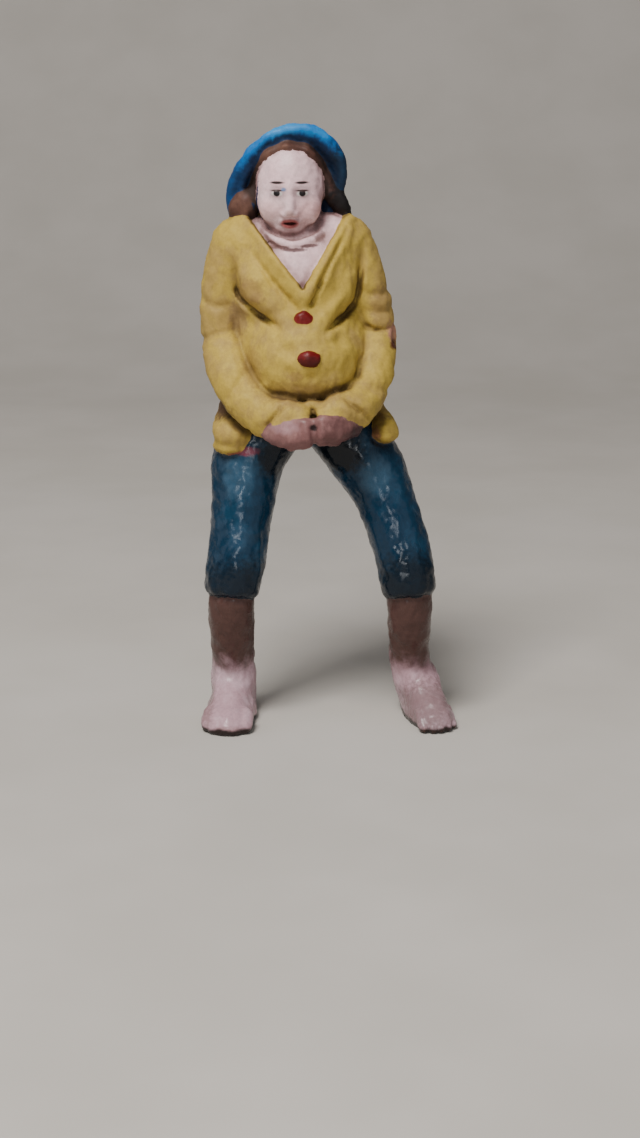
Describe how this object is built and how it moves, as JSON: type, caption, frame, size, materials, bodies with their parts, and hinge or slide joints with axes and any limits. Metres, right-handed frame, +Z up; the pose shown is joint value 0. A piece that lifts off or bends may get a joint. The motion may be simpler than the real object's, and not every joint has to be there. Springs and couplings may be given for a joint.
{
  "type": "nativity figurine",
  "caption": "Painted fired-clay crib figurine: a stout barefoot person in coat, hat and short breeches, standing on its own soles with hands clasped.",
  "frame": {"origin": "centre of the bounding box at the table plane, level with the soles", "axes": "+Z up along the standing figure; the figure faces -Y; +X is on the figure's left, the right of the picture"},
  "size_m": [0.0411, 0.0234, 0.095],
  "materials": {
    "painted_clay": "hand-painted fired clay, satin, worn and dusty: mustard coat, teal-blue hat and breeches, pale pink skin, brown hair"
  },
  "bodies": {
    "root": {"figurine": "painted_clay"}
  },
  "joints": []
}
